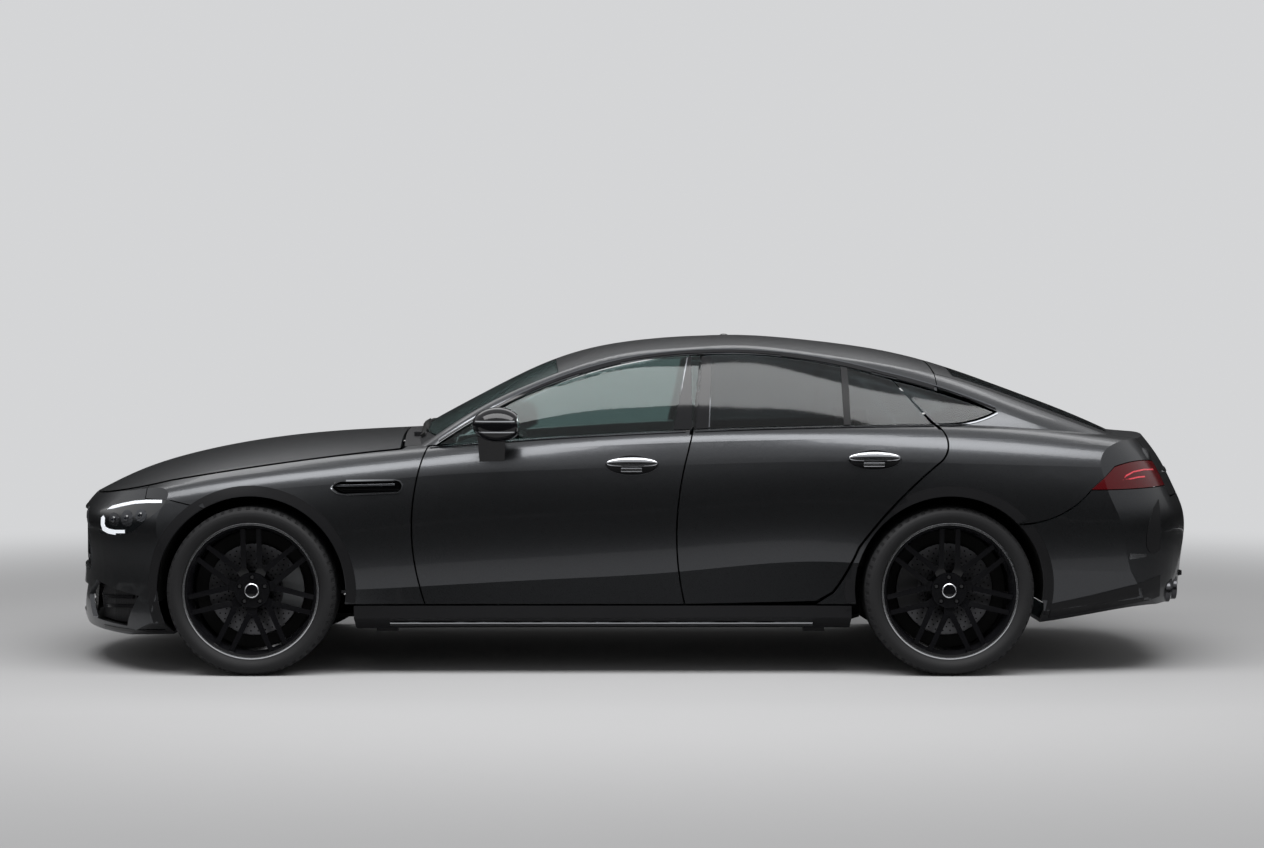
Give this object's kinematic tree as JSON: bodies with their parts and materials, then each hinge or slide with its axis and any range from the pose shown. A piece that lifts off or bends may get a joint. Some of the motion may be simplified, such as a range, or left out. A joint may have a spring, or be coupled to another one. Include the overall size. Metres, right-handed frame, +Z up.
{
  "type": "four-door fastback coupe car",
  "caption": "Low four-door fastback coupe with opening doors, bonnet and liftgate, and a furnished cabin.",
  "frame": {"origin": "middle of the bounding box, on the floor", "axes": "nose toward -X, the car's left side toward -Y, +Z up"},
  "size_m": [5.0294, 2.084, 1.4538],
  "materials": {
    "paint": "dark graphite metallic",
    "black_trim": "satin black",
    "glass": "tinted",
    "lamp": "clear lens",
    "tail_lamp": "red lens",
    "exhaust": "polished",
    "underbody": "matt",
    "tyre": "rubber",
    "rim": "gloss black",
    "steel": "cast",
    "engine": "cast",
    "interior": "soft touch",
    "leather": "smooth"
  },
  "bodies": {
    "body": {"fender_left": "paint", "fender_right": "paint", "cowl": "black_trim", "front_bumper": "paint", "grille": "black_trim", "headlamp_left": "lamp", "headlamp_right": "lamp", "windshield": "glass", "roof": "paint", "side_frame_left": "paint", "side_frame_right": "paint", "quarter_left": "paint", "quarter_right": "paint", "quarter_glass": "glass", "tail_lamp_left": "tail_lamp", "tail_lamp_right": "tail_lamp", "rear_bumper": "paint", "diffuser": "black_trim", "exhaust_tips": "exhaust", "sills": "black_trim", "underbody": "underbody", "wheel_liners": "underbody", "front_axle": "steel", "rear_axle": "steel", "engine": "engine", "dashboard": "interior", "steering_wheel": "interior", "front_seats": "leather", "rear_seats": "leather"},
    "front_door_left": {"door_front_left": "paint", "glass_front_left": "glass", "mirror_left": "paint"},
    "rear_door_left": {"door_rear_left": "paint", "glass_rear_left": "glass"},
    "steering_knuckle_left": {"knuckle_left": "steel"},
    "front_wheel_left": {"tyre_front_left": "tyre", "wheel_front_left": "rim"},
    "rear_wheel_left": {"tyre_rear_left": "tyre", "wheel_rear_left": "rim"},
    "front_door_right": {"door_front_right": "paint", "glass_front_right": "glass", "mirror_right": "paint"},
    "rear_door_right": {"door_rear_right": "paint", "glass_rear_right": "glass"},
    "steering_knuckle_right": {"knuckle_right": "steel"},
    "front_wheel_right": {"tyre_front_right": "tyre", "wheel_front_right": "rim"},
    "rear_wheel_right": {"tyre_rear_right": "tyre", "wheel_rear_right": "rim"},
    "bonnet_lid": {"bonnet": "paint"},
    "tailgate": {"liftgate": "paint", "backlight": "glass"}
  },
  "joints": [
    {"name": "front_door_left_hinge", "type": "hinge", "parent": "body", "child": "front_door_left", "pos_m": [-0.8, -0.93, 0.6], "axis": [0, 0, -1], "range_deg": [0, 65]},
    {"name": "rear_door_left_hinge", "type": "hinge", "parent": "body", "child": "rear_door_left", "pos_m": [0.31, -0.924, 0.6], "axis": [0, 0, -1], "range_deg": [0, 65]},
    {"name": "steer_left", "type": "hinge", "parent": "body", "child": "steering_knuckle_left", "pos_m": [-1.609, -0.803, 0.358], "axis": [0, 0, 1], "range_deg": [-33, 33]},
    {"name": "front_wheel_left_spin", "type": "hinge", "parent": "steering_knuckle_left", "child": "front_wheel_left", "pos_m": [-1.609, -0.832, 0.358], "axis": [0, 1, 0], "continuous": true},
    {"name": "rear_wheel_left_spin", "type": "hinge", "parent": "body", "child": "rear_wheel_left", "pos_m": [1.342, -0.82, 0.358], "axis": [0, 1, 0], "continuous": true},
    {"name": "front_door_right_hinge", "type": "hinge", "parent": "body", "child": "front_door_right", "pos_m": [-0.8, 0.93, 0.6], "axis": [0, 0, 1], "range_deg": [0, 65]},
    {"name": "rear_door_right_hinge", "type": "hinge", "parent": "body", "child": "rear_door_right", "pos_m": [0.31, 0.924, 0.6], "axis": [0, 0, 1], "range_deg": [0, 65]},
    {"name": "steer_right", "type": "hinge", "parent": "body", "child": "steering_knuckle_right", "pos_m": [-1.609, 0.803, 0.358], "axis": [0, 0, 1], "range_deg": [-33, 33]},
    {"name": "front_wheel_right_spin", "type": "hinge", "parent": "steering_knuckle_right", "child": "front_wheel_right", "pos_m": [-1.609, 0.832, 0.358], "axis": [0, 1, 0], "continuous": true},
    {"name": "rear_wheel_right_spin", "type": "hinge", "parent": "body", "child": "rear_wheel_right", "pos_m": [1.342, 0.82, 0.358], "axis": [0, 1, 0], "continuous": true},
    {"name": "bonnet_hinge", "type": "hinge", "parent": "body", "child": "bonnet_lid", "pos_m": [-1.035, 0, 1.03], "axis": [0, 1, 0], "range_deg": [0, 55]},
    {"name": "tailgate_hinge", "type": "hinge", "parent": "body", "child": "tailgate", "pos_m": [1.345, 0, 1.345], "axis": [0, -1, 0], "range_deg": [0, 70]}
  ],
  "couplings": [
    {"joint": "steer_right", "follows": "steer_left", "ratio": 1}
  ]
}
